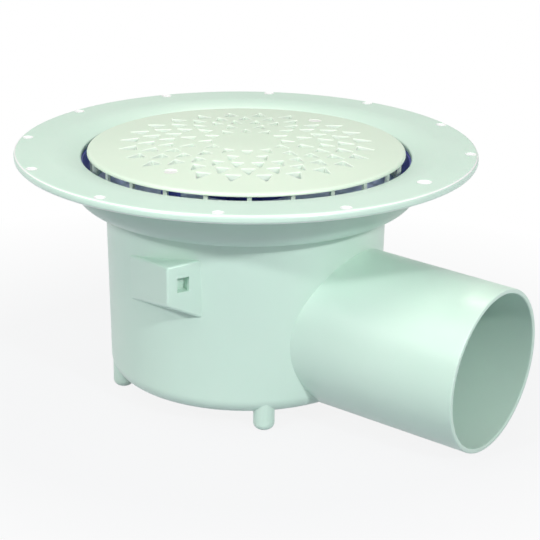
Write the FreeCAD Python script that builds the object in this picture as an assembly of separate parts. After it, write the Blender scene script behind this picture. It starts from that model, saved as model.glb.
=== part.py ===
"""Floor drain: flanged pot with a side outlet, a domed grate and a lift-out water trap.

Millimetres. The drain's axis is Z with +Z up, the flange's top face lies at z = 0,
and the outlet points along +X with a slight fall.
"""
import FreeCAD, Part
import math
import os

Vector = FreeCAD.Vector
ORIGIN = Vector(0, 0, 0)
UP = Vector(0, 0, 1)

# Rounds on turned pieces are made of conical steps that stay this close to the true arc
round_deviation = 0.6

# Body: flange, with one fixing hole moved inwards over the outlet
flange_width = 42.5
flange_thickness = 6.0
flange_edge_round = 1.6
fixing_hole_count = 12
fixing_hole_radius = 3.5
fixing_hole_inset = 5.5
outlet_hole_radius = 4.6
outlet_hole_inset = 16.5

# Body: the flange's dip into the dish, and the dish, whose floor is a ledge round the pot
ledge_width = 22.7
dish_depth = 32.7
dish_outer_round = 15.0
dish_inner_round = 7.5
dip_width = 10.2
dip_depth = 3.7
dip_round = 48.0
lip_round = 3.0
body_wall = 4.0
junction_round = 2.0

# Body: pot, slightly tapered
pot_top_radius = 96.3
pot_taper = 2.4
pot_bottom_z = -159.4
pot_outer_round = 11.0
pot_inner_round = 2.0
ledge_round = 1.2

# Body: outlet spigot, one standard pipe size, its reach counted from the pot
outlet_radius = 55.0
outlet_wall = 3.2
outlet_reach = 102.7
outlet_straight = 94.0
outlet_draft = 0.4
outlet_axis_z = -107.5
outlet_fall_deg = 2.5
outlet_heel_round = 12.0
outlet_edge_round = 0.8

# Body: feet under the pot's rounded edge, just longer than the outlet is low
foot_count = 4
foot_first_angle = 45.0
foot_radius = 7.2
foot_inset = 7.6
foot_end_round = 4.8
foot_stand_off = 0.6

# Body: wedge lug on each side of the pot, angles counted from the outlet
lug_toe_angle = 105.8
lug_corner_angle = 79.4
lug_heel_angle = 70.6
lug_reach = 19.2
lug_toe_step = 0.8
lug_corner_top_z = -52.4
lug_corner_height = 26.8
lug_top_tilt_deg = 8.0
lug_gusset_deg = 28.0
lug_round = 1.8
lug_bury = 1.0
lug_window_width = 8.6
lug_window_height = 9.9
lug_window_depth = 5.0
lug_window_setback = 7.4
lug_window_drop = 8.6

# Grate: domed plate that thins towards its rim, with a gap all round it
grate_gap = 6.5
grate_crown_z = 3.3
grate_edge_z = -1.0
grate_edge_round = 2.0
grate_brim = 2.4
grate_hub_radius = 22.0
grate_knee_radius = 62.0

# Grate: rings of triangular holes from the rim to the middle, each hole with its base towards the middle
hole_counts = (24, 24, 24, 12, 12)
hole_first_angles = (0.0, 7.5, 0.0, 22.5, 7.5)
hole_base_radii = (75.0, 62.5, 50.0, 36.5, 23.5)
hole_lengths = (13.0, 12.5, 11.5, 11.5, 10.5)
hole_widths = (11.0, 10.0, 9.0, 8.5, 8.0)

# Grate: posts and the ring that they stand on
post_count = 24
post_first_angle = 7.5
post_width = 3.0
post_depth = 3.2
post_inset = 1.2
stand_ring_height = 3.0

# Grate screws, countersunk, each in place of a hole of the outermost ring and blind above the insert's floor
screw_angles = (90.0, 270.0)
screw_inset = 26.2
screw_head_radius = 4.8
screw_shank_radius = 2.5
screw_floor = 4.0
screw_sink = 0.3
screw_clearance = 0.1
screw_tip_room = 2.0
pad_radius = 6.5
pad_depth = 4.4

# Trap insert: bowl that lines the dish, with a dip tube
insert_wall = 3.0
insert_clearance = 0.5
insert_rim_z = -9.0
throat_round = 2.0
tube_inner_radius = 40.0
tube_wall = 3.0
tube_end_z = -122.0

# Trap seal: flat ring between the dish's floor and the insert
seal_thickness = 3.0
seal_margin = 0.5

# Trap cup: hung on the dip tube's pegs by three hooks, and turned to take it off
cup_gap = 16.5
cup_wall = 2.5
cup_rim_z = -72.0
cup_floor_drop = 13.5
cup_round = 2.0
peg_angles = (60.0, 180.0, 300.0)
peg_width = 8.0
peg_height = 4.0
peg_reach = 5.0
hook_drop = 6.0
hook_width = 9.0
hook_height = 4.0
hook_clearance = 0.5

# Places that follow from the sizes above
pot_bottom_radius = pot_top_radius - pot_taper
pot_floor_z = pot_bottom_z + body_wall
ledge_radius = pot_top_radius - body_wall
dish_radius = ledge_radius + ledge_width
dish_outer_radius = dish_radius + body_wall
dish_floor_z = -dish_depth
flange_radius = dish_radius + flange_width
fixing_circle_radius = flange_radius - fixing_hole_inset
outlet_hole_distance = flange_radius - outlet_hole_inset
outlet_length = pot_top_radius + outlet_reach
outlet_fall = math.radians(outlet_fall_deg)
outlet_low_z = outlet_axis_z - outlet_length * math.sin(outlet_fall) - outlet_radius * math.cos(outlet_fall)
foot_end_z = outlet_low_z - foot_stand_off
foot_circle_radius = pot_bottom_radius - foot_inset
insert_under_z = dish_floor_z + seal_thickness
insert_floor_z = insert_under_z + insert_wall
insert_radius = dish_radius - insert_clearance
tube_radius = tube_inner_radius + tube_wall
cup_inner_radius = tube_radius + cup_gap
cup_radius = cup_inner_radius + cup_wall
hook_under_z = cup_rim_z - hook_drop
grate_radius = dish_radius - grate_gap
grate_crest_radius = grate_radius - grate_edge_round
grate_under_z = grate_edge_z - grate_brim
pad_under_z = grate_under_z - pad_depth
post_outer_radius = grate_radius - post_inset
post_inner_radius = post_outer_radius - post_depth
screw_circle_radius = grate_radius - screw_inset
screw_hole_end_z = insert_under_z + screw_floor
screw_tip_z = screw_hole_end_z + screw_tip_room


def polar(radius, angle_deg, z=0.0):
    """Point at a radius and at an angle from the outlet's direction."""
    angle = math.radians(angle_deg)
    return Vector(radius * math.cos(angle), radius * math.sin(angle), z)


def even_angles(count, first_angle=0.0):
    """Angles that share a full turn equally."""
    return [first_angle + 360.0 * index / count for index in range(count)]


def turned(shape, angle_deg):
    """Copy of a shape, turned about the drain's axis."""
    copy = shape.copy()
    copy.rotate(ORIGIN, UP, angle_deg)
    return copy


def upright_box(inner_radius, outer_radius, width, low_z, high_z, angle_deg):
    """Box that runs outwards from one radius to another at an angle."""
    corner = Vector(inner_radius, -width / 2, low_z)
    box = Part.makeBox(outer_radius - inner_radius, width, high_z - low_z, corner)
    return turned(box, angle_deg)


def upright_cylinder(radius, low_z, high_z, place):
    """Cylinder along Z over a place in plan."""
    return Part.makeCylinder(radius, high_z - low_z, Vector(place.x, place.y, low_z))


def arc_points(start, end, centre):
    """Points from start to end on an arc about a centre, as few as the allowed deviation needs."""
    first = start - centre
    last = end - centre
    radius = first.Length
    turn = first.getAngle(last)
    step = 2 * math.acos(max(1 - round_deviation / radius, 0))
    count = math.ceil(turn / step)
    points = []
    for index in range(count + 1):
        share = index / count
        ahead = math.sin(share * turn) / math.sin(turn)
        behind = math.sin((1 - share) * turn) / math.sin(turn)
        points.append(centre + first * behind + last * ahead)
    return points


def rounded_profile(corners):
    """Closed outline in the XZ plane through (x, z, round) corners.

    A round that finds no room on its two sides is reduced to the room there is, and two rounds
    that all but meet are joined.
    """
    points = [Vector(x, 0, z) for x, z, _ in corners]
    count = len(points)
    back = [(points[i - 1] - points[i]).normalize() for i in range(count)]
    ahead = [(points[(i + 1) % count] - points[i]).normalize() for i in range(count)]
    half = [back[i].getAngle(ahead[i]) / 2 for i in range(count)]
    trim = [corners[i][2] / math.tan(half[i]) for i in range(count)]
    room = []
    for i in range(count):
        side = (points[(i + 1) % count] - points[i]).Length
        wanted = trim[i] + trim[(i + 1) % count]
        room.append(min(1.0, 0.98 * side / wanted) if wanted > 0 else 1.0)

    outline = []
    for i in range(count):
        length = trim[i] * min(room[i - 1], room[i])
        if length > 0:
            centre = points[i] + (back[i] + ahead[i]).normalize() * (length / math.cos(half[i]))
            outline += arc_points(points[i] + back[i] * length, points[i] + ahead[i] * length, centre)
        else:
            outline.append(points[i])
    kept = outline[:1]
    for point in outline[1:]:
        if (point - kept[-1]).Length > round_deviation:
            kept.append(point)
    return kept


def turned_solid(outline, axis=UP):
    """Solid of revolution about an axis through the origin."""
    return Part.Face(Part.makePolygon(outline + outline[:1])).revolve(ORIGIN, axis, 360)


def revolved(corners):
    """Solid turned about the drain's axis from profile corners."""
    return turned_solid(rounded_profile(corners))


def pot_radius_at(z):
    """Outer radius of the tapered pot at a level."""
    top_z = dish_floor_z - body_wall
    share = (top_z - z) / (top_z - pot_bottom_z)
    return pot_top_radius + share * (pot_bottom_radius - pot_top_radius)


def make_body_shell():
    """Flange, dish and pot as one turned wall."""
    return revolved([
        (0, pot_bottom_z, 0),
        (pot_bottom_radius, pot_bottom_z, pot_outer_round),
        (pot_top_radius, dish_floor_z - body_wall, junction_round),
        (dish_outer_radius, dish_floor_z - body_wall, dish_outer_round),
        (dish_outer_radius, -flange_thickness, 0),
        (flange_radius, -flange_thickness, flange_edge_round),
        (flange_radius, 0, flange_edge_round),
        (dish_radius + dip_width, 0, dip_round),
        (dish_radius, -dip_depth, lip_round),
        (dish_radius, dish_floor_z, dish_inner_round),
        (ledge_radius, dish_floor_z, ledge_round),
        (pot_bottom_radius - body_wall, pot_floor_z, pot_inner_round),
        (0, pot_floor_z, 0),
    ])


def make_pot_core():
    """Space inside the middle of the pot's wall, which cuts off what is joined to the pot."""
    half_wall = body_wall / 2
    return revolved([
        (0, pot_bottom_z + half_wall, 0),
        (pot_bottom_radius - half_wall, pot_bottom_z + half_wall, pot_outer_round - half_wall),
        (pot_top_radius - half_wall, dish_floor_z, 0),
        (0, dish_floor_z, 0),
    ])


def outlet_bar(radius, heel, end, edge_round):
    """Round bar along the outlet's axis from its heel near the drain's axis: drafted root, straight end."""
    straight_from = outlet_length - outlet_straight
    outline = rounded_profile([
        (heel, 0, 0),
        (heel, radius + outlet_draft, outlet_heel_round),
        (straight_from, radius, 0),
        (end, radius, edge_round),
        (end, 0, 0),
    ])
    bar = turned_solid(outline, Vector(1, 0, 0))
    bar.rotate(ORIGIN, Vector(0, 1, 0), outlet_fall_deg)
    bar.translate(Vector(0, 0, outlet_axis_z))
    return bar


def make_foot(angle_deg):
    """Round peg with a rounded end."""
    foot = revolved([
        (0, foot_end_z, 0),
        (foot_radius, foot_end_z, foot_end_round),
        (foot_radius, pot_bottom_z + pot_outer_round, 0),
        (0, pot_bottom_z + pot_outer_round, 0),
    ])
    foot.translate(polar(foot_circle_radius, angle_deg))
    return foot


def make_lug():
    """Wedge on the pot's +Y side: flat toe face that ends in a small step, heel face with a window,
    sloped underside."""
    root_radius = pot_radius_at(lug_corner_top_z - lug_corner_height / 2)
    toe = polar(root_radius + lug_toe_step, lug_toe_angle)
    corner = polar(root_radius + lug_reach, lug_corner_angle)
    heel = polar(root_radius - lug_bury, lug_heel_angle)
    inwards = 1 - 2 * body_wall / root_radius
    plan = [toe * inwards, toe, corner, heel, heel * inwards]

    top_slope = math.tan(math.radians(lug_top_tilt_deg))
    gusset_slope = math.tan(math.radians(lug_gusset_deg))
    top = []
    bottom = []
    for point in plan:
        top_z = lug_corner_top_z + (point.x - corner.x) * top_slope
        bottom_z = lug_corner_top_z - lug_corner_height - (corner.y - point.y) * gusset_slope
        top.append(Vector(point.x, point.y, top_z))
        bottom.append(Vector(point.x, point.y, bottom_z))
    count = len(plan)
    loops = [top, bottom]
    for i in range(count):
        following = (i + 1) % count
        loops.append([bottom[i], bottom[following], top[following], top[i]])
    faces = [Part.Face(Part.makePolygon(loop + [loop[0]])) for loop in loops]
    wedge = Part.Solid(Part.Shell(faces))
    if wedge.Volume < 0:
        wedge.reverse()

    outer_edges = []
    for edge in wedge.Edges:
        ends = [vertex.Point for vertex in edge.Vertexes]
        at_corner = [math.hypot(end.x - corner.x, end.y - corner.y) < 0.01 for end in ends]
        if any(at_corner):
            outer_edges.append(edge)
    wedge = wedge.makeChamfer(lug_round, outer_edges)

    along = (heel - corner).normalize()
    facing_deg = math.degrees(math.atan2(along.y, along.x))
    window = Part.makeBox(lug_window_width, 2 * lug_window_depth, lug_window_height,
                          Vector(lug_window_setback, -lug_window_depth, 0))
    window.rotate(ORIGIN, UP, facing_deg)
    window.translate(Vector(corner.x, corner.y, lug_corner_top_z - lug_window_drop - lug_window_height))
    return wedge.cut(window)


def make_body():
    """Whole body moulding."""
    lug = make_lug()
    opposite_lug = lug.mirror(ORIGIN, Vector(0, 1, 0))
    joined = [outlet_bar(outlet_radius, -outlet_wall, outlet_length, outlet_edge_round), lug, opposite_lug]
    joined += [make_foot(angle) for angle in even_angles(foot_count, foot_first_angle)]
    core = make_pot_core()
    body = make_body_shell().fuse([piece.cut(core) for piece in joined])

    cuts = [outlet_bar(outlet_radius - outlet_wall, 0, outlet_length + outlet_wall, 0)]
    for angle in even_angles(fixing_hole_count)[1:]:
        place = polar(fixing_circle_radius, angle)
        cuts.append(upright_cylinder(fixing_hole_radius, -2 * flange_thickness, flange_thickness, place))
    place = polar(outlet_hole_distance, 0)
    cuts.append(upright_cylinder(outlet_hole_radius, -2 * flange_thickness, flange_thickness, place))
    return body.cut(cuts)


def grate_top_z(radius):
    """Level of the domed top: a flat hub, then two cones along a sphere through the crown and the edge."""
    rings = grate_top_rings()
    for inner, outer in zip(rings, rings[1:]):
        if radius <= outer.x:
            share = (radius - inner.x) / (outer.x - inner.x)
            return inner.z + share * (outer.z - inner.z)
    return rings[-1].z


def grate_top_rings():
    """Points of the top's profile where one cone meets the next."""
    drop = grate_crown_z - grate_edge_z
    sphere = (grate_crest_radius ** 2 + drop ** 2) / (2 * drop)
    points = []
    for radius in (grate_hub_radius, grate_knee_radius, grate_crest_radius):
        points.append(Vector(radius, 0, grate_crown_z - sphere + math.sqrt(sphere ** 2 - radius ** 2)))
    return [Vector(0, 0, points[0].z)] + points


def make_grate_plate():
    """Plate with a domed top, rounded brow and flat underside, without its holes."""
    top = grate_top_rings()
    brow = Vector(grate_radius, 0, grate_edge_z - grate_edge_round)
    brow_centre = Vector(grate_crest_radius, 0, grate_edge_z - grate_edge_round)
    under = [Vector(grate_radius, 0, grate_under_z), Vector(0, 0, grate_under_z)]
    return turned_solid(top[:-1] + arc_points(top[-1], brow, brow_centre) + under)


def triangle_hole(base_radius, length, width, angle_deg):
    """Triangular prism through the plate, its base towards the middle."""
    low_z = pad_under_z
    points = [
        Vector(base_radius, -width / 2, low_z),
        Vector(base_radius + length, 0, low_z),
        Vector(base_radius, width / 2, low_z),
    ]
    face = Part.Face(Part.makePolygon(points + points[:1]))
    return turned(face.extrude(UP * (2 * grate_crown_z - low_z)), angle_deg)


def grate_holes():
    """All triangular holes, leaving out those whose place a screw takes."""
    holes = []
    screw_places = [polar(screw_circle_radius, angle) for angle in screw_angles]
    for count, first_angle, base_radius, length, width in zip(
            hole_counts, hole_first_angles, hole_base_radii, hole_lengths, hole_widths):
        for angle in even_angles(count, first_angle):
            middle = polar(base_radius + length / 3, angle)
            if min((middle - place).Length for place in screw_places) > pad_radius + length / 4:
                holes.append(triangle_hole(base_radius, length, width, angle))
    return holes


def screw_head_z():
    """Level of a screw head's face, just below the grate's surface."""
    return grate_top_z(screw_circle_radius) - screw_sink


def screw_bar(shank_radius):
    """Countersunk head with a shank that ends at the screws' tip."""
    head_z = screw_head_z()
    return revolved([
        (0, head_z, 0),
        (screw_head_radius, head_z, 0),
        (shank_radius, head_z + shank_radius - screw_head_radius, 0),
        (shank_radius, screw_tip_z, 0),
        (0, screw_tip_z, 0),
    ])


def make_grate():
    """Whole grate moulding."""
    plate = make_grate_plate()
    added = []
    for angle in even_angles(post_count, post_first_angle):
        added.append(upright_box(post_inner_radius, post_outer_radius - grate_brim / 4, post_width,
                                 insert_floor_z + stand_ring_height / 2, grate_edge_z - grate_edge_round / 2,
                                 angle))
    added.append(revolved([
        (post_inner_radius, insert_floor_z, 0),
        (post_outer_radius, insert_floor_z, 0),
        (post_outer_radius, insert_floor_z + stand_ring_height, 0),
        (post_inner_radius, insert_floor_z + stand_ring_height, 0),
    ]))
    screw_holes = []
    for angle in screw_angles:
        place = polar(screw_circle_radius, angle)
        added.append(upright_cylinder(pad_radius, pad_under_z, grate_edge_z, place))
        hole = screw_bar(screw_shank_radius + screw_clearance)
        hole = hole.fuse(upright_cylinder(screw_head_radius, screw_head_z(), 2 * grate_crown_z, ORIGIN))
        hole.translate(place)
        screw_holes.append(hole)
    return plate.fuse(added).cut(grate_holes() + screw_holes)


def make_screw(angle_deg):
    """Countersunk screw in its place."""
    screw = screw_bar(screw_shank_radius)
    screw.translate(polar(screw_circle_radius, angle_deg))
    return screw


def make_insert():
    """Whole trap insert moulding: bowl, dip tube, pegs for the cup and pillars for the screws."""
    wall_inner_radius = insert_radius - insert_wall
    shell = revolved([
        (insert_radius, insert_rim_z, 0),
        (insert_radius, insert_under_z, dish_inner_round - insert_clearance),
        (tube_radius, insert_under_z, 0),
        (tube_radius, tube_end_z, 0),
        (tube_inner_radius, tube_end_z, 0),
        (tube_inner_radius, insert_floor_z, throat_round),
        (wall_inner_radius, insert_floor_z, 0),
        (wall_inner_radius, insert_rim_z, 0),
    ])
    added = []
    for angle in peg_angles:
        added.append(upright_box(tube_radius - tube_wall / 2, tube_radius + peg_reach, peg_width,
                                 hook_under_z - peg_height, hook_under_z, angle))
    holes = []
    for angle in screw_angles:
        place = polar(screw_circle_radius, angle)
        added.append(upright_cylinder(pad_radius, insert_under_z + insert_wall / 2, pad_under_z, place))
        holes.append(upright_cylinder(screw_shank_radius + screw_clearance, screw_hole_end_z,
                                      grate_under_z, place))
    return shell.fuse(added).cut(holes)


def make_seal():
    """Flat ring on the dish's floor, clear of its two rounded edges."""
    inner_radius = ledge_radius + ledge_round + seal_margin
    outer_radius = dish_radius - dish_inner_round - seal_margin
    return revolved([
        (inner_radius, dish_floor_z, 0),
        (outer_radius, dish_floor_z, 0),
        (outer_radius, insert_under_z, 0),
        (inner_radius, insert_under_z, 0),
    ])


def make_cup():
    """Whole trap cup moulding, with three hooks that rest on the dip tube's pegs."""
    floor_z = tube_end_z - cup_floor_drop
    cup = revolved([
        (0, floor_z - cup_wall, 0),
        (cup_radius, floor_z - cup_wall, cup_round),
        (cup_radius, cup_rim_z, 0),
        (cup_inner_radius, cup_rim_z, 0),
        (cup_inner_radius, floor_z, 0),
        (0, floor_z, 0),
    ])
    hooks = []
    for angle in peg_angles:
        hooks.append(upright_box(tube_radius + hook_clearance, cup_inner_radius + cup_wall / 2, hook_width,
                                 hook_under_z, hook_under_z + hook_height, angle))
    return cup.fuse(hooks)


def export(name, shape):
    """Write one piece as a clean solid."""
    clean = shape.removeSplitter()
    if len(clean.Solids) == 1:
        clean = clean.Solids[0]
    clean.exportStep(os.path.join("parts", name + ".step"))


os.makedirs("parts", exist_ok=True)
export("drain_body", make_body())
export("grate", make_grate())
for number, screw_angle in enumerate(screw_angles, start=1):
    export("grate_screw_%d" % number, make_screw(screw_angle))
export("trap_insert", make_insert())
export("trap_seal", make_seal())
export("trap_cup", make_cup())
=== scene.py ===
"""Looks of the floor drain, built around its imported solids.

Shapes are worked out in millimetres in the part's own frame and become metres when a piece is finished.
The drain's axis is Z, the flange's top face lies at z = 0 and the outlet points along +X. Angles about
that axis are in degrees from the outlet's direction. Materials, lights and the camera are in metres.
"""

import math
from collections import namedtuple

import bmesh
import bpy
from mathutils import Matrix, Vector


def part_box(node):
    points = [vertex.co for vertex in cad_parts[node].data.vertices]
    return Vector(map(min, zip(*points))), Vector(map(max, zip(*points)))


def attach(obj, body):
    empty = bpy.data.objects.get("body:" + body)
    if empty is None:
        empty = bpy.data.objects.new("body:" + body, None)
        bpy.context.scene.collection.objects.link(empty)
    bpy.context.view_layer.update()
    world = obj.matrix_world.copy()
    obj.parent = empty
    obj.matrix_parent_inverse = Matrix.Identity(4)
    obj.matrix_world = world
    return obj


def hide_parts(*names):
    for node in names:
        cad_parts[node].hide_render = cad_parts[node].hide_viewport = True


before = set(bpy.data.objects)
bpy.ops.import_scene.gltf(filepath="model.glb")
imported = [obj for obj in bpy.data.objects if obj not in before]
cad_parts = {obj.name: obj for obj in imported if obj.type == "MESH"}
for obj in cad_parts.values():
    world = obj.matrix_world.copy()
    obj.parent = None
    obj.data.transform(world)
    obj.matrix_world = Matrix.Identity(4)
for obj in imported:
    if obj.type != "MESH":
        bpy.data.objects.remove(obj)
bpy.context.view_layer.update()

MM = 0.001
TINY = 1e-6
NO_TURN = Matrix.Identity(4)
UP = Vector((0, 0, 1))
WHITE = (1, 1, 1, 1)

# Fineness of the meshes
ARC_STEP = math.radians(7.5)
HOLE_ARC_STEP = math.radians(16)
SHARP_ANGLE = math.radians(17)
RING_SEGMENTS = 192
OUTLET_SEGMENTS = 128
SMALL_SEGMENTS = 40
LUG_SEGMENTS = 8
FLOOR_SEGMENTS = 96
DOME_RINGS = 24
ROUND_PROFILE = 0.5

# Extra points near the ends of an outline's straight runs, and the shortest run that gets them, in supports
SUPPORT = 0.4
SUPPORTS_IN_RUN = 4

# Mending of meshes that were joined and cut
MERGE = 0.01
SLIT_SIDES = 4
MOST_CORNERS = 4

# Mark on the walls of holes, which are the faces whose normal has less of Z than this. The marked walls get
# painted light: a whiter colour that stands in for bright, lit hole walls
PAINTED_HOLE_LIGHT_MARK = "painted_hole_light"
STEEP = 0.88

# Sizes that the frame's boxes give
body_low, body_high = [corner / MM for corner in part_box("drain_body")]
grate_low, grate_high = [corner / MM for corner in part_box("grate")]
flange_radius = body_high.y
foot_end_z = body_low.z
grate_radius = grate_high.x
stand_z = grate_low.z

# Body: flange, dip and dish
flange_thickness = 6.0
flange_edge_round = 2.4
flange_root_round = 1.5
fixing_hole_count = 12
fixing_hole_radius = 3.5
fixing_circle_radius = flange_radius - 5.5
fixing_rim = 0.5
outlet_hole_radius = 4.6
outlet_hole_distance = flange_radius - 16.5
dish_radius = flange_radius - 42.5
dish_floor_z = -32.7
dish_outer_round = 15.0
dish_inner_round = 7.5
dip_width = 10.2
dip_depth = 5.3
dip_round = 44.0
lip_overhang = 2.6
lip_height = 2.8
lip_round = 2.0
lip_under_round = 0.4
body_wall = 4.0
junction_round = 2.0

# Body: pot, outlet and feet
pot_top_radius = 96.3
pot_bottom_radius = 93.9
pot_bottom_z = -159.4
pot_outer_round = 11.0
pot_inner_round = 4.0
ledge_round = 1.2
outlet_radius = 55.0
outlet_wall = 3.2
outlet_length = 199.0
outlet_straight = 94.0
outlet_draft = 0.4
outlet_axis_z = -107.5
outlet_fall = math.radians(2.5)
outlet_heel_round = 12.0
outlet_edge_round = 0.9
foot_angles = (45.0, 135.0, 225.0, 315.0)
foot_radius = 7.2
foot_circle_radius = 86.3
foot_end_round = 4.8

# Body: wedge lug on each side of the pot. Its window is measured along the heel face, into it and up.
lug_toe_angle = 105.8
lug_corner_angle = 79.4
lug_heel_angle = 70.6
lug_reach = 19.2
lug_toe_step = 0.8
lug_corner_top_z = -52.4
lug_corner_height = 26.8
lug_top_slope = math.tan(math.radians(8))
lug_gusset_slope = math.tan(math.radians(28))
lug_round = 1.8
lug_bury = 1.0
lug_window = Vector((8.6, 7.0, 9.9))
lug_window_setback = 7.4
lug_window_drop = 8.6
lug_window_round = 0.8

# Grate: plate and rings of triangular holes, the outermost ring first
HoleRing = namedtuple("HoleRing", "count first_angle base_radius length width")
grate_crown_z = 3.3
grate_edge_z = -1.0
grate_edge_round = 2.0
grate_under_z = -3.4
hole_rings = (
    HoleRing(24, 0.0, 75.0, 13.0, 11.0),
    HoleRing(24, 7.5, 62.5, 12.5, 10.0),
    HoleRing(24, 0.0, 50.0, 11.5, 9.0),
    HoleRing(12, 22.5, 36.5, 11.5, 8.5),
    HoleRing(12, 7.5, 23.5, 10.5, 8.0),
)
hole_corner_round = 0.7
hole_rim = 0.55
hole_middle_share = 1 / 3
hole_margin_share = 1 / 4
rim_turn = math.radians(70)
rim_past = 0.1

# Grate: posts and the ring that they stand on
post_count = 24
post_first_angle = 7.5
post_width = 3.0
post_inner_radius = 104.1
post_outer_radius = 107.3
post_edge_round = 0.5
stand_ring_height = 3.0

# Screws and the grate's pads for them
screw_circle_radius = grate_radius - 26.2
screw_angles = (90.0, 270.0)
screw_clearance = 0.1
screw_shank_radius = 2.5
screw_edge_round = 0.25
screw_tip_round = 0.6
pad_radius = 6.5
pad_under_z = -7.8
recess_angles = (25.0, 115.0)
recess_length = 3.4
recess_width = 0.7
recess_depth = 0.8
recess_floor_length = 0.35 * recess_length
recess_floor_width = 0.675 * recess_width

# Materials: a noise is (cycles per metre, detail), and a bump's depth is in metres
scatter_share = 0.2
scatter_radius = (0.8, 1.0, 0.9)
scatter_depth = 0.003
plastic_specular = 0.9
cloud_noise = (9, 3)
gloss_noise = (60, 4)
gloss_below = 0.04
gloss_above = 0.05
sink_mark_noise = (22, 1)
sink_mark_depth = 0.0004
grain_noise = (1400, 2)
grain_depth = 0.00004
# Painted light on low faces that look up: the level under which they turn pale, the height of the fade, and
# how far up they must face
painted_upward_light_top = -0.018
painted_upward_light_fade = 0.004
painted_upward_light_facing = (0.2, 0.6)
steel_metallic = 0.5
steel_dull = (0.90, 0.91, 0.90)
steel_bright = (0.97, 0.98, 0.97)
steel_patch_noise = (900, 3)
steel_gloss_noise = (2500, 3)
steel_roughness = (0.28, 0.42)
turning_noise = (6000, 2)
turning_stretch = (1, 0.1, 1)
turning_depth = 0.00001
rubber_black = (0.018, 0.018, 0.019)
rubber_bloom = (0.045, 0.045, 0.046)
bloom_noise = (80, 4)
rubber_gloss_noise = (300, 3)
rubber_roughness = (0.62, 0.82)
rubber_grain_noise = (2200, 2)
rubber_grain_depth = 0.00006

# Floor: share of plain white near the object and far from it, and where it goes from one to the other
floor_radius = 9.0
floor_colour = (0.33, 0.36, 0.41, 1)
floor_roughness = 0.9
floor_white = (0.88, 1.0)
floor_fade = (0.2, 0.42)

# Camera, fitted to the photograph's view
camera_place = Vector((675.8, -916.9, 314.1)) * MM
camera_forward = Vector((-0.5478, 0.7670, -0.3343)).normalized()
camera_roll = math.radians(0.717)
camera_lens = 115.2
camera_sensor = 36.0

# Surroundings: level of their light on the object and in its reflections
ambient_level = 0.35
mirrored_level = 0.6

# Round soft boxes that face one point, each turned to the picture's right from the camera's direction and
# raised, both in degrees, with its power in watts
SoftBox = namedtuple("SoftBox", "name turn rise distance size power colour")
lit_point = Vector((0.03, 0, -0.08))
soft_boxes = (
    SoftBox("left_box", -40, 32, 1.7, 0.12, 9.4, (1.0, 1.0, 1.0)),
    SoftBox("right_box", 34, 31, 1.7, 0.12, 12.4, (1.0, 1.0, 1.0)),
    SoftBox("top_box", -45, 58, 1.5, 0.7, 5.2, (1.0, 0.985, 0.9)),
    SoftBox("back_box", 180, 60, 1.5, 0.24, 2.4, (1.0, 0.98, 0.8)),
)


def polar(radius, angle_deg, z=0.0):
    """Point at a radius and at an angle from the outlet's direction."""
    angle = math.radians(angle_deg)
    return Vector((radius * math.cos(angle), radius * math.sin(angle), z))


def turned(angle_deg):
    """Turn about the drain's axis."""
    return Matrix.Rotation(math.radians(angle_deg), 4, "Z")


def even_angles(count, first_angle=0.0):
    """Angles that share a full turn equally."""
    return [first_angle + 360.0 * index / count for index in range(count)]


def screw_places():
    """Points where the screws' axes stand."""
    return [polar(screw_circle_radius, angle) for angle in screw_angles]


def arc_points(start, end, centre, step):
    """Points from start to end on an arc about a centre."""
    first = start - centre
    last = end - centre
    turn = first.angle(last)
    count = max(1, math.ceil(turn / step))
    points = []
    for index in range(count + 1):
        share = index / count
        ahead = math.sin(share * turn) / math.sin(turn)
        behind = math.sin((1 - share) * turn) / math.sin(turn)
        points.append(centre + first * behind + last * ahead)
    return points


def corner_frames(corners):
    """(point, direction back, direction ahead, half the angle between them, round) of each corner."""
    points = [Vector((x, y)) for x, y, _ in corners]
    frames = []
    for i, point in enumerate(points):
        back = (points[i - 1] - point).normalized()
        ahead = (points[(i + 1) % len(points)] - point).normalized()
        frames.append((point, back, ahead, back.angle(ahead) / 2, corners[i][2]))
    return frames


def rounded_outline(corners, step=ARC_STEP, support=SUPPORT):
    """Closed outline through (x, y, round) corners.

    A straight run that ends in a round gets a point close to that end, which keeps its shading straight.
    """
    arcs = []
    for point, back, ahead, half, radius in corner_frames(corners):
        if radius > 0:
            trim = radius / math.tan(half)
            centre = point + (back + ahead).normalized() * (radius / math.sin(half))
            arcs.append(arc_points(point + back * trim, point + ahead * trim, centre, step))
        else:
            arcs.append([point])
    outline = []
    for arc, following in zip(arcs, arcs[1:] + arcs[:1]):
        outline += arc
        run = following[0] - arc[-1]
        if support and run.length > SUPPORTS_IN_RUN * support:
            along = run.normalized() * support
            if len(arc) > 1:
                outline.append(arc[-1] + along)
            if len(following) > 1:
                outline.append(following[0] - along)
    return outline


def inflated(corners, amount):
    """Convex outline's (x, y, round) corners, moved outwards by an amount."""
    moved = []
    for point, back, ahead, half, radius in corner_frames(corners):
        new = point - (back + ahead).normalized() * (amount / math.sin(half))
        moved.append((new.x, new.y, radius + amount))
    return moved


def new_object(name, bm):
    """Object in millimetres from a closed mesh under construction."""
    bmesh.ops.recalc_face_normals(bm, faces=bm.faces)
    mesh = bpy.data.meshes.new(name)
    bm.to_mesh(mesh)
    bm.free()
    obj = bpy.data.objects.new(name, mesh)
    bpy.context.scene.collection.objects.link(obj)
    return obj


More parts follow.
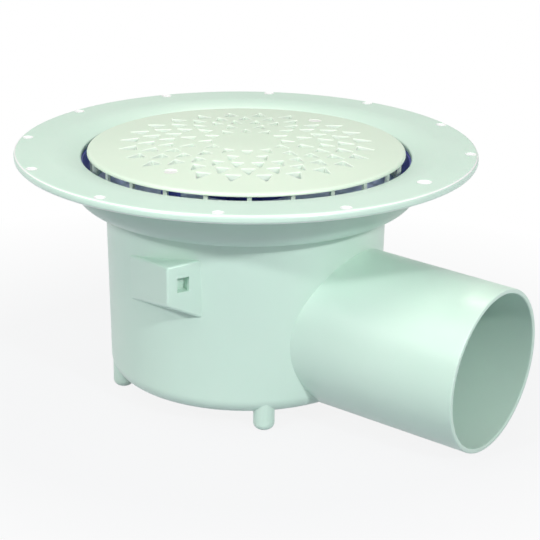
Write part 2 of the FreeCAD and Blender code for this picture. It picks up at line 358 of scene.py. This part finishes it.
def add_lathe(bm, outline, segments, place=NO_TURN):
    """Adds a solid turned about Z from an outline of (radius, height) points."""
    rings = []
    for radius, height in outline:
        count = segments if radius > TINY else 1
        rings.append([bm.verts.new(place @ polar(radius, angle, height)) for angle in even_angles(count)])
    for lower, upper in zip(rings, rings[1:] + rings[:1]):
        if len(lower) == 1 and len(upper) == 1:
            continue
        for index in range(segments):
            after = (index + 1) % segments
            corners = [lower[index % len(lower)], lower[after % len(lower)],
                       upper[after % len(upper)], upper[index % len(upper)]]
            bm.faces.new(dict.fromkeys(corners))


def lathe(name, outline, segments, place=NO_TURN):
    """Object turned about Z from an outline of (radius, height) points."""
    bm = bmesh.new()
    add_lathe(bm, outline, segments, place)
    return new_object(name, bm)


def add_stack(bm, loops):
    """Adds a closed form from loops of points, each loop joined to the next, with a fan at both ends."""
    rows = [[bm.verts.new(point) for point in loop] for loop in loops]
    count = len(rows[0])
    for lower, upper in zip(rows, rows[1:]):
        for index in range(count):
            after = (index + 1) % count
            bm.faces.new((lower[index], lower[after], upper[after], upper[index]))
    for row, loop in ((rows[0], loops[0]), (rows[-1], loops[-1])):
        middle = bm.verts.new(sum(loop, Vector()) / count)
        for index in range(count):
            bm.faces.new((row[index], row[(index + 1) % count], middle))


def add_box(bm, low, high, edge_round, place):
    """Adds an upright box whose vertical edges are rounded."""
    corners = [(low[0], low[1], edge_round), (high[0], low[1], edge_round),
               (high[0], high[1], edge_round), (low[0], high[1], edge_round)]
    outline = rounded_outline(corners, HOLE_ARC_STEP, 0)
    loops = []
    for z in (low[2], high[2]):
        loops.append([place @ Vector((point.x, point.y, z)) for point in outline])
    add_stack(bm, loops)


def combine(target, tools, operation):
    """Joins tools to a target or cuts them from it."""
    for tool in tools:
        modifier = target.modifiers.new(tool.name, "BOOLEAN")
        modifier.object = tool
        modifier.operation = operation
        modifier.solver = "EXACT"
    depsgraph = bpy.context.evaluated_depsgraph_get()
    mesh = bpy.data.meshes.new_from_object(target.evaluated_get(depsgraph))
    target.modifiers.clear()
    target.data = mesh


def discard(objects):
    """Removes pieces that were only used to make others."""
    for obj in objects:
        bpy.data.objects.remove(obj)


def close_mesh(mesh):
    """Mends what joining and cutting leave: double points, thin slits and faces with many corners."""
    bm = bmesh.new()
    bm.from_mesh(mesh)
    bmesh.ops.remove_doubles(bm, verts=bm.verts, dist=MERGE)
    slits = [edge for edge in bm.edges if edge.is_boundary]
    bmesh.ops.holes_fill(bm, edges=slits, sides=SLIT_SIDES)
    many_sided = [face for face in bm.faces if len(face.verts) > MOST_CORNERS]
    bmesh.ops.triangulate(bm, faces=many_sided, ngon_method="BEAUTY")
    bmesh.ops.recalc_face_normals(bm, faces=bm.faces)
    bm.to_mesh(mesh)
    bm.free()


def mark_painted_hole_light(mesh, inner_radius, outer_radius, low_z):
    """Marks the steep faces of the holes in a plate, which get painted light: a whiter colour that stands
    in for bright, lit hole walls.
    """
    marks = mesh.attributes.new(PAINTED_HOLE_LIGHT_MARK, "FLOAT", "FACE")
    for polygon in mesh.polygons:
        middle = polygon.center
        in_plate = inner_radius < middle.xy.length < outer_radius and middle.z > low_z
        if in_plate and abs(polygon.normal.z) < STEEP:
            marks.data[polygon.index].value = 1.0


def finish_piece(piece, node, material):
    """Brings a piece to metres, smooths its rounds and puts it in the place of its node."""
    mesh = piece.data
    close_mesh(mesh)
    mesh.transform(Matrix.Scale(MM, 4))
    mesh.polygons.foreach_set("use_smooth", [True] * len(mesh.polygons))
    mesh.set_sharp_from_angle(angle=SHARP_ANGLE)
    mesh.materials.clear()
    mesh.materials.append(material)
    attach(piece, "root")
    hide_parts(node)


def rim_steps(rim):
    """(outward, upward) steps of a hole's rounded rim, from its straight wall to just past the surface."""
    steps = []
    for angle in (0.0, rim_turn / 2, rim_turn):
        steps.append((rim * (1 - math.cos(angle)), rim * (math.sin(angle) - 1)))
    out, up = steps[-1]
    steps.append((out + (rim_past - up) * math.tan(rim_turn), rim_past))
    return steps


def round_hole_outline(radius, low_z, high_z, rim):
    """Outline of a round cutter with a rounded rim at both faces."""
    upper = [(radius + out, high_z + up) for out, up in rim_steps(rim)]
    lower = [(radius + out, low_z - up) for out, up in reversed(rim_steps(rim))]
    return [(0.0, low_z - rim_past)] + lower + upper + [(0.0, high_z + rim_past)]


def pot_radius_at(z):
    """Outer radius of the tapered pot at a level."""
    top_z = dish_floor_z - body_wall
    share = (top_z - z) / (top_z - pot_bottom_z)
    return pot_top_radius + share * (pot_bottom_radius - pot_top_radius)


def body_outline():
    """Section through the turned wall of flange, dish and pot."""
    return rounded_outline([
        (0, pot_bottom_z, 0),
        (pot_bottom_radius, pot_bottom_z, pot_outer_round),
        (pot_top_radius, dish_floor_z - body_wall, junction_round),
        (dish_radius + body_wall, dish_floor_z - body_wall, dish_outer_round),
        (dish_radius + body_wall, -flange_thickness, flange_root_round),
        (flange_radius, -flange_thickness, flange_edge_round),
        (flange_radius, 0, flange_edge_round),
        (dish_radius + dip_width, 0, dip_round),
        (dish_radius - lip_overhang, -dip_depth, lip_round),
        (dish_radius - lip_overhang, -dip_depth - lip_height, lip_under_round),
        (dish_radius, -dip_depth - lip_height, lip_under_round),
        (dish_radius, dish_floor_z, dish_inner_round),
        (pot_top_radius - body_wall, dish_floor_z, ledge_round),
        (pot_bottom_radius - body_wall, pot_bottom_z + body_wall, pot_inner_round),
        (0, pot_bottom_z + body_wall, 0),
    ])


def core_outline():
    """Section of the space inside the middle of the pot's wall."""
    half_wall = body_wall / 2
    return rounded_outline([
        (0, pot_bottom_z + half_wall, 0),
        (pot_bottom_radius - half_wall, pot_bottom_z + half_wall, pot_outer_round - half_wall),
        (pot_top_radius - half_wall, dish_floor_z, 0),
        (0, dish_floor_z, 0),
    ])


def outlet_place():
    """Turns a form made along Z into the outlet's sloped axis."""
    tilt = Matrix.Rotation(math.pi / 2 + outlet_fall, 4, "Y")
    return Matrix.Translation((0, 0, outlet_axis_z)) @ tilt


def outlet_outline():
    """Section of the outlet's outside from its heel to its rounded end."""
    return rounded_outline([
        (0, -outlet_wall, 0),
        (outlet_radius + outlet_draft, -outlet_wall, outlet_heel_round),
        (outlet_radius, outlet_length - outlet_straight, 0),
        (outlet_radius, outlet_length, outlet_edge_round),
        (0, outlet_length, 0),
    ])


def bore_outline():
    """Section of the outlet's bore, flared at its mouth."""
    radius = outlet_radius - outlet_wall
    heel = rounded_outline([
        (0, 0, 0),
        (radius + outlet_draft, 0, outlet_heel_round),
        (radius, outlet_length - outlet_straight, 0),
    ])
    mouth = [(radius + out, outlet_length + up) for out, up in rim_steps(outlet_edge_round)]
    straight = [(radius, outlet_length - outlet_straight)]
    return [tuple(point) for point in heel[:-1]] + straight + mouth + [(0, outlet_length + rim_past)]


def make_foot(angle_deg):
    """Round peg with a rounded end."""
    outline = rounded_outline([
        (0, foot_end_z, 0),
        (foot_radius, foot_end_z, foot_end_round),
        (foot_radius, pot_bottom_z + pot_outer_round, 0),
        (0, pot_bottom_z + pot_outer_round, 0),
    ])
    place = Matrix.Translation(polar(foot_circle_radius, angle_deg))
    return lathe("foot", outline, SMALL_SEGMENTS, place)


def make_lug_window(corner, heel):
    """Cutter of the window in the lug's heel face."""
    along = (heel - corner).normalized()
    turn = Matrix.Rotation(math.atan2(along.y, along.x), 4, "Z")
    floor_z = lug_corner_top_z - lug_window_drop - lug_window.z
    place = Matrix.Translation((corner.x, corner.y, floor_z)) @ turn
    low = (lug_window_setback, -lug_window.y, 0)
    high = (lug_window_setback + lug_window.x, lug_window.y, lug_window.z)
    bm = bmesh.new()
    add_box(bm, low, high, lug_window_round, place)
    return new_object("window", bm)


def make_lug(side):
    """Wedge on one side of the pot: flat toe face that ends in a small step, heel face with a window,
    sloped underside."""
    root_radius = pot_radius_at(lug_corner_top_z - lug_corner_height / 2)
    toe = polar(root_radius + lug_toe_step, lug_toe_angle)
    corner = polar(root_radius + lug_reach, lug_corner_angle)
    heel = polar(root_radius - lug_bury, lug_heel_angle)
    inwards = 1 - 2 * body_wall / root_radius
    plan = [toe * inwards, toe, corner, heel, heel * inwards]
    bm = bmesh.new()
    top = []
    bottom = []
    for point in plan:
        top_z = lug_corner_top_z + (point.x - corner.x) * lug_top_slope
        bottom_z = lug_corner_top_z - lug_corner_height - (corner.y - point.y) * lug_gusset_slope
        top.append(bm.verts.new((point.x, point.y, top_z)))
        bottom.append(bm.verts.new((point.x, point.y, bottom_z)))
    bm.faces.new(top)
    bm.faces.new(list(reversed(bottom)))
    for index in range(len(plan)):
        after = (index + 1) % len(plan)
        bm.faces.new((bottom[index], bottom[after], top[after], top[index]))
    corner_index = plan.index(corner)
    corner_verts = {top[corner_index], bottom[corner_index]}
    edges = [edge for edge in bm.edges if corner_verts & set(edge.verts)]
    bmesh.ops.bevel(bm, geom=edges, offset=lug_round, segments=LUG_SEGMENTS,
                    profile=ROUND_PROFILE, affect="EDGES")
    lug = new_object("lug", bm)
    window = make_lug_window(corner, heel)
    combine(lug, [window], "DIFFERENCE")
    discard([window])
    if side < 0:
        lug.data.transform(Matrix.Scale(-1, 4, (0, 1, 0)))
        lug.data.flip_normals()
    return lug


def make_fixing_holes():
    """Cutters of the flange's holes. The place over the outlet has a larger hole nearer the middle."""
    angles = even_angles(fixing_hole_count)[1:]
    holes = [(polar(fixing_circle_radius, angle), fixing_hole_radius) for angle in angles]
    holes.append((polar(outlet_hole_distance, 0), outlet_hole_radius))
    bm = bmesh.new()
    for place, radius in holes:
        outline = round_hole_outline(radius, -flange_thickness, 0, fixing_rim)
        add_lathe(bm, outline, SMALL_SEGMENTS, Matrix.Translation(place))
    return new_object("fixing_holes", bm)


def make_body(material):
    """Whole body moulding, with true rounds."""
    body = lathe("drain_body_moulding", body_outline(), RING_SEGMENTS)
    core = lathe("core", core_outline(), RING_SEGMENTS)
    joined = [lathe("outlet", outlet_outline(), OUTLET_SEGMENTS, outlet_place())]
    joined += [make_foot(angle) for angle in foot_angles]
    joined += [make_lug(side) for side in (1, -1)]
    for piece in joined:
        combine(piece, [core], "DIFFERENCE")
    combine(body, joined, "UNION")
    cutters = [lathe("bore", bore_outline(), OUTLET_SEGMENTS, outlet_place()), make_fixing_holes()]
    combine(body, cutters, "DIFFERENCE")
    mark_painted_hole_light(body.data, dish_radius + dip_width, flange_radius - fixing_rim, -flange_thickness)
    discard(joined + cutters + [core])
    finish_piece(body, "drain_body", material)


def dome_z(radius):
    """Level of the grate's top: a sphere through its crown and its edge."""
    crest = grate_radius - grate_edge_round
    drop = grate_crown_z - grate_edge_z
    sphere = (crest ** 2 + drop ** 2) / (2 * drop)
    return grate_crown_z - sphere + math.sqrt(sphere ** 2 - min(radius, crest) ** 2)


def grate_outline():
    """Section of the grate's plate."""
    crest = grate_radius - grate_edge_round
    radii = [crest * index / DOME_RINGS for index in range(DOME_RINGS + 1)]
    top = [Vector((radius, dome_z(radius))) for radius in radii]
    brow_centre = Vector((crest, grate_edge_z - grate_edge_round))
    brow = arc_points(top[-1], brow_centre + Vector((grate_edge_round, 0)), brow_centre, ARC_STEP)
    under = [(grate_radius, grate_under_z), (0, grate_under_z)]
    return top[:-1] + brow + under


def make_posts():
    """Posts between the grate's plate and the ring under it."""
    low = (post_inner_radius, -post_width / 2, stand_z + stand_ring_height / 2)
    high = (post_outer_radius - post_edge_round, post_width / 2, grate_edge_z - grate_edge_round / 2)
    bm = bmesh.new()
    for angle in even_angles(post_count, post_first_angle):
        add_box(bm, low, high, post_edge_round, turned(angle))
    return new_object("posts", bm)


def make_stand_ring():
    """Ring that the posts stand on."""
    top_z = stand_z + stand_ring_height
    outline = rounded_outline([
        (post_inner_radius, stand_z, 0),
        (post_outer_radius, stand_z, 0),
        (post_outer_radius, top_z, post_edge_round),
        (post_inner_radius, top_z, post_edge_round),
    ])
    return lathe("ring", outline, RING_SEGMENTS)


def make_pads():
    """Thick places under the plate that take the screws."""
    outline = [(0, pad_under_z), (pad_radius, pad_under_z), (pad_radius, grate_edge_z), (0, grate_edge_z)]
    return [lathe("pad", outline, SMALL_SEGMENTS, Matrix.Translation(place)) for place in screw_places()]


def add_triangle_cutter(bm, ring, angle_deg):
    """Adds a triangular cutter with rounded corners and a rounded rim that follows the dome."""
    corners = [
        (ring.base_radius, -ring.width / 2, hole_corner_round),
        (ring.base_radius + ring.length, 0, hole_corner_round),
        (ring.base_radius, ring.width / 2, hole_corner_round),
    ]
    turn = turned(angle_deg)
    straight = rounded_outline(corners, HOLE_ARC_STEP, 0)
    loops = [[turn @ Vector((point.x, point.y, pad_under_z)) for point in straight]]
    for out, up in rim_steps(hole_rim):
        loop = []
        for point in rounded_outline(inflated(corners, out), HOLE_ARC_STEP, 0):
            loop.append(turn @ Vector((point.x, point.y, dome_z(point.length) + up)))
        loops.append(loop)
    add_stack(bm, loops)


def make_triangle_holes():
    """Cutters of all the triangular holes. A hole is left out where a screw's pad is in its way."""
    bm = bmesh.new()
    for ring in hole_rings:
        clear = pad_radius + ring.length * hole_margin_share
        for angle in even_angles(ring.count, ring.first_angle):
            middle = polar(ring.base_radius + ring.length * hole_middle_share, angle)
            if min((middle - place).length for place in screw_places()) > clear:
                add_triangle_cutter(bm, ring, angle)
    return new_object("holes", bm)


def make_sinks():
    """Cutters of the countersunk holes for the screws."""
    sinks = []
    shank = screw_shank_radius + screw_clearance
    for number, place in enumerate(screw_places(), start=1):
        low, high = [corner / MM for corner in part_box("grate_screw_%d" % number)]
        head_radius = high.x
        outline = [
            (0, low.z),
            (shank, low.z),
            (shank, high.z + shank - head_radius),
            (head_radius, high.z),
            (head_radius, dome_z(screw_circle_radius) - hole_rim / 2),
            (head_radius + hole_rim, grate_crown_z),
            (0, grate_crown_z),
        ]
        sinks.append(lathe("sink", outline, SMALL_SEGMENTS, Matrix.Translation(place)))
    return sinks


def make_grate(material):
    """Whole grate moulding."""
    grate = lathe("grate_moulding", grate_outline(), RING_SEGMENTS)
    joined = [make_posts(), make_stand_ring()] + make_pads()
    combine(grate, joined, "UNION")
    cutters = [make_triangle_holes()] + make_sinks()
    combine(grate, cutters, "DIFFERENCE")
    outermost = hole_rings[0]
    mark_painted_hole_light(grate.data, 0, outermost.base_radius + outermost.length, grate_under_z)
    discard(joined + cutters)
    finish_piece(grate, "grate", material)


def bar_section(place, length, width, z):
    """Corners of a bar's oblong section at a level."""
    signs = ((-1, -1), (1, -1), (1, 1), (-1, 1))
    return [place @ Vector((x * length / 2, y * width / 2, z)) for x, y in signs]


def make_recess(place, top_z):
    """Cutters of a screw's cross recess, two bars that are smaller at the recess's floor."""
    bars = []
    for angle in recess_angles:
        turn = place @ turned(angle)
        floor = bar_section(turn, recess_floor_length, recess_floor_width, top_z - recess_depth)
        mouth = bar_section(turn, recess_length, recess_width, top_z + rim_past)
        bm = bmesh.new()
        add_stack(bm, [floor, mouth])
        bars.append(new_object("recess", bm))
    return bars


def make_screw(number, point, material):
    """Countersunk screw with a cross recess."""
    node = "grate_screw_%d" % number
    low, high = [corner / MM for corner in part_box(node)]
    head_radius = high.x
    outline = rounded_outline([
        (0, low.z, 0),
        (screw_shank_radius, low.z, screw_tip_round),
        (screw_shank_radius, high.z + screw_shank_radius - head_radius, 0),
        (head_radius, high.z, screw_edge_round),
        (0, high.z, 0),
    ])
    place = Matrix.Translation(point)
    screw = lathe("screw_%d" % number, outline, SMALL_SEGMENTS, place)
    bars = make_recess(place, high.z)
    combine(screw, bars, "DIFFERENCE")
    discard(bars)
    finish_piece(screw, node, material)


class Shader:
    """Material under construction, with its main shader and a position that moves with the object."""

    def __init__(self, name):
        self.material = bpy.data.materials.new(name)
        self.material.use_nodes = True
        self.tree = self.material.node_tree
        self.main = self.tree.nodes["Principled BSDF"]
        self.place = self.add("ShaderNodeTexCoord").outputs["Object"]

    def add(self, kind, **settings):
        """New node with the given settings."""
        node = self.tree.nodes.new(kind)
        for key, value in settings.items():
            setattr(node, key, value)
        return node

    def link(self, source, target):
        """Link from a node's output to a node's input."""
        self.tree.links.new(source, target)

    def set(self, **values):
        """Constant values on the main shader's sockets, named with _ for each space."""
        for key, value in values.items():
            self.main.inputs[key.replace("_", " ")].default_value = value

    def feed(self, name, source):
        """Link to one of the main shader's sockets."""
        self.link(source, self.main.inputs[name])

    def noise(self, kind, stretch=None):
        """Noise over the object, from its (cycles per metre, detail)."""
        scale, detail = kind
        node = self.add("ShaderNodeTexNoise")
        node.inputs["Scale"].default_value = scale
        node.inputs["Detail"].default_value = detail
        place = self.place
        if stretch:
            mapping = self.add("ShaderNodeMapping")
            mapping.inputs["Scale"].default_value = stretch
            self.link(place, mapping.inputs["Vector"])
            place = mapping.outputs["Vector"]
        self.link(place, node.inputs["Vector"])
        return node.outputs["Fac"]

    def spread(self, value, low, high, start=0.3, end=0.7):
        """Value spread over a range of numbers. Most of a noise lies between the usual start and end."""
        node = self.add("ShaderNodeMapRange")
        for key, number in (("From Min", start), ("From Max", end), ("To Min", low), ("To Max", high)):
            node.inputs[key].default_value = number
        self.link(value, node.inputs["Value"])
        return node.outputs["Result"]

    def upward(self, vector):
        """Part of a vector along Z."""
        node = self.add("ShaderNodeSeparateXYZ")
        self.link(vector, node.inputs[0])
        return node.outputs["Z"]

    def calculate(self, operation, first, second):
        """Result of an operation on two values."""
        node = self.add("ShaderNodeMath", operation=operation)
        self.link(first, node.inputs[0])
        self.link(second, node.inputs[1])
        return node.outputs[0]

    def blend(self, value, first, second):
        """Colour between two, by a value from 0 to 1."""
        node = self.add("ShaderNodeMix", data_type="RGBA")
        self.link(value, node.inputs["Factor"])
        for key, colour in (("A", first), ("B", second)):
            socket = next(s for s in node.inputs if s.name == key and s.type == "RGBA")
            if isinstance(colour, tuple):
                socket.default_value = (*colour, 1)
            else:
                self.link(colour, socket)
        return next(s for s in node.outputs if s.type == "RGBA")

    def bump(self, layers):
        """Bumps from (value, depth in metres) layers, one on top of the other."""
        below = None
        for value, depth in layers:
            node = self.add("ShaderNodeBump")
            node.inputs["Distance"].default_value = depth
            self.link(value, node.inputs["Height"])
            if below:
                self.link(below, node.inputs["Normal"])
            below = node.outputs["Normal"]
        self.feed("Normal", below)


def plastic(name, light, dark, roughness, painted_hole_light=None, painted_upward_light=None):
    """Moulded plastic: faint cloudiness in the colour, uneven gloss, slow sink marks and a fine grain.

    Walls of holes get painted light, a whiter colour for bright, lit walls, and low faces that look up get
    painted light, a pale colour.
    """
    shader = Shader(name)
    shader.set(Subsurface_Weight=scatter_share, Subsurface_Radius=scatter_radius,
               Subsurface_Scale=scatter_depth, Specular_IOR_Level=plastic_specular)
    cloud = shader.spread(shader.noise(cloud_noise), 0, 1)
    colour = shader.blend(cloud, dark, light)
    # Painted light: marked hole walls are blended to a whiter colour
    if painted_hole_light:
        mark = shader.add("ShaderNodeAttribute", attribute_name=PAINTED_HOLE_LIGHT_MARK)
        colour = shader.blend(mark.outputs["Fac"], colour, painted_hole_light)
    # Painted light: low faces that look up are blended to a pale colour
    if painted_upward_light:
        normal = shader.add("ShaderNodeNewGeometry").outputs["Normal"]
        facing = shader.spread(shader.upward(normal), 0, 1, *painted_upward_light_facing)
        level = shader.spread(shader.upward(shader.place), 1, 0, painted_upward_light_top - painted_upward_light_fade, painted_upward_light_top)
        colour = shader.blend(shader.calculate("MULTIPLY", facing, level), colour, painted_upward_light)
    shader.feed("Base Color", colour)
    gloss = shader.spread(shader.noise(gloss_noise), roughness - gloss_below, roughness + gloss_above)
    shader.feed("Roughness", gloss)
    sink_marks = (shader.noise(sink_mark_noise), sink_mark_depth)
    grain = (shader.noise(grain_noise), grain_depth)
    shader.bump([sink_marks, grain])
    return shader.material


def steel(name):
    """Bright stainless steel with fine turning marks and duller patches."""
    shader = Shader(name)
    shader.set(Metallic=steel_metallic)
    patch = shader.spread(shader.noise(steel_patch_noise), 0, 1)
    shader.feed("Base Color", shader.blend(patch, steel_dull, steel_bright))
    shader.feed("Roughness", shader.spread(shader.noise(steel_gloss_noise), *steel_roughness))
    shader.bump([(shader.noise(turning_noise, turning_stretch), turning_depth)])
    return shader.material


def rubber(name):
    """Matt black rubber with a dusty bloom."""
    shader = Shader(name)
    bloom = shader.spread(shader.noise(bloom_noise), 0, 1)
    shader.feed("Base Color", shader.blend(bloom, rubber_black, rubber_bloom))
    shader.feed("Roughness", shader.spread(shader.noise(rubber_gloss_noise), *rubber_roughness))
    shader.bump([(shader.noise(rubber_grain_noise), rubber_grain_depth)])
    return shader.material


def floor_paper():
    """Matt paper that fades to plain white far from the object, to look at and in reflections."""
    shader = Shader("floor_paper")
    shader.set(Base_Color=floor_colour, Roughness=floor_roughness)
    white = shader.add("ShaderNodeEmission")
    white.inputs["Color"].default_value = WHITE
    length = shader.add("ShaderNodeVectorMath", operation="LENGTH")
    shader.link(shader.place, length.inputs[0])
    far = shader.spread(length.outputs["Value"], *floor_white, *floor_fade)
    path = shader.add("ShaderNodeLightPath")
    seen = shader.calculate("MAXIMUM", path.outputs["Is Camera Ray"], path.outputs["Is Glossy Ray"])
    mix = shader.add("ShaderNodeMixShader")
    shader.link(shader.calculate("MULTIPLY", seen, far), mix.inputs["Fac"])
    shader.link(shader.main.outputs[0], mix.inputs[1])
    shader.link(white.outputs[0], mix.inputs[2])
    shader.link(mix.outputs[0], shader.tree.nodes["Material Output"].inputs["Surface"])
    return shader.material


def dress_node(node, material):
    """Gives a solid that stays as it is its material."""
    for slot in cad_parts[node].material_slots:
        slot.material = material


def make_floor():
    """Pale round floor under the feet."""
    bm = bmesh.new()
    bmesh.ops.create_circle(bm, cap_ends=True, segments=FLOOR_SEGMENTS, radius=floor_radius)
    mesh = bpy.data.meshes.new("floor")
    bm.to_mesh(mesh)
    bm.free()
    mesh.materials.append(floor_paper())
    floor = bpy.data.objects.new("floor", mesh)
    floor.location.z = foot_end_z * MM
    bpy.context.scene.collection.objects.link(floor)


def make_world():
    """White surroundings to look at, with a plain level of light on the object and in its reflections."""
    world = bpy.data.worlds.new("studio")
    bpy.context.scene.world = world
    world.use_nodes = True
    nodes = world.node_tree.nodes
    links = world.node_tree.links
    background = nodes["Background"]
    background.inputs["Color"].default_value = WHITE
    path = nodes.new("ShaderNodeLightPath")
    reflected = nodes.new("ShaderNodeMapRange")
    reflected.inputs["To Min"].default_value = ambient_level
    reflected.inputs["To Max"].default_value = mirrored_level
    links.new(path.outputs["Is Glossy Ray"], reflected.inputs["Value"])
    level = nodes.new("ShaderNodeMath")
    level.operation = "MAXIMUM"
    links.new(path.outputs["Is Camera Ray"], level.inputs[0])
    links.new(reflected.outputs["Result"], level.inputs[1])
    links.new(level.outputs[0], background.inputs["Strength"])


def view_matrix():
    """Place and turn of the camera."""
    right = camera_forward.cross(UP).normalized()
    up = right.cross(camera_forward)
    rolled_right = right * math.cos(camera_roll) + up * math.sin(camera_roll)
    rolled_up = rolled_right.cross(camera_forward)
    turn = Matrix((rolled_right, rolled_up, -camera_forward)).transposed().to_4x4()
    return Matrix.Translation(camera_place) @ turn


def make_camera():
    """Camera with the photograph's view."""
    data = bpy.data.cameras.new("camera")
    data.sensor_fit = "HORIZONTAL"
    data.sensor_width = camera_sensor
    data.lens = camera_lens
    camera = bpy.data.objects.new("camera", data)
    camera.matrix_world = view_matrix()
    bpy.context.scene.collection.objects.link(camera)
    bpy.context.scene.camera = camera


def make_light(box):
    """Round soft box that faces the lit point."""
    towards = camera_place - lit_point
    angle = math.atan2(towards.y, towards.x) + math.radians(box.turn)
    rise = math.radians(box.rise)
    level = Vector((math.cos(angle), math.sin(angle), 0))
    direction = level * math.cos(rise) + UP * math.sin(rise)
    data = bpy.data.lights.new(box.name, "AREA")
    data.shape = "DISK"
    data.size = box.size
    data.energy = box.power
    data.color = box.colour
    light = bpy.data.objects.new(box.name, data)
    light.location = lit_point + direction * box.distance
    light.rotation_euler = (-direction).to_track_quat("-Z", "Y").to_euler()
    bpy.context.scene.collection.objects.link(light)


# The whiter colours given for hole walls are painted light in the holes
mint = plastic("mint_plastic", light=(0.66, 0.84, 0.74), dark=(0.62, 0.81, 0.71),
               roughness=0.36, painted_hole_light=(0.96, 0.97, 0.96))
mint_grate = plastic("mint_grate_plastic", light=(0.74, 0.87, 0.73), dark=(0.70, 0.84, 0.70),
                     roughness=0.42, painted_hole_light=(0.84, 0.95, 0.84))
# The pale colour given for low upward faces is painted light
blue = plastic("blue_plastic", light=(0.20, 0.22, 0.80), dark=(0.17, 0.19, 0.74),
               roughness=0.34, painted_upward_light=(0.58, 0.66, 0.95))
make_body(mint)
make_grate(mint_grate)
bright_steel = steel("bright_steel")
for number, point in enumerate(screw_places(), start=1):
    make_screw(number, point, bright_steel)
dress_node("trap_insert", blue)
dress_node("trap_cup", blue)
dress_node("trap_seal", rubber("seal_rubber"))

make_floor()
make_world()
for soft_box in soft_boxes:
    make_light(soft_box)
make_camera()
bpy.context.scene.view_settings.view_transform = "Standard"
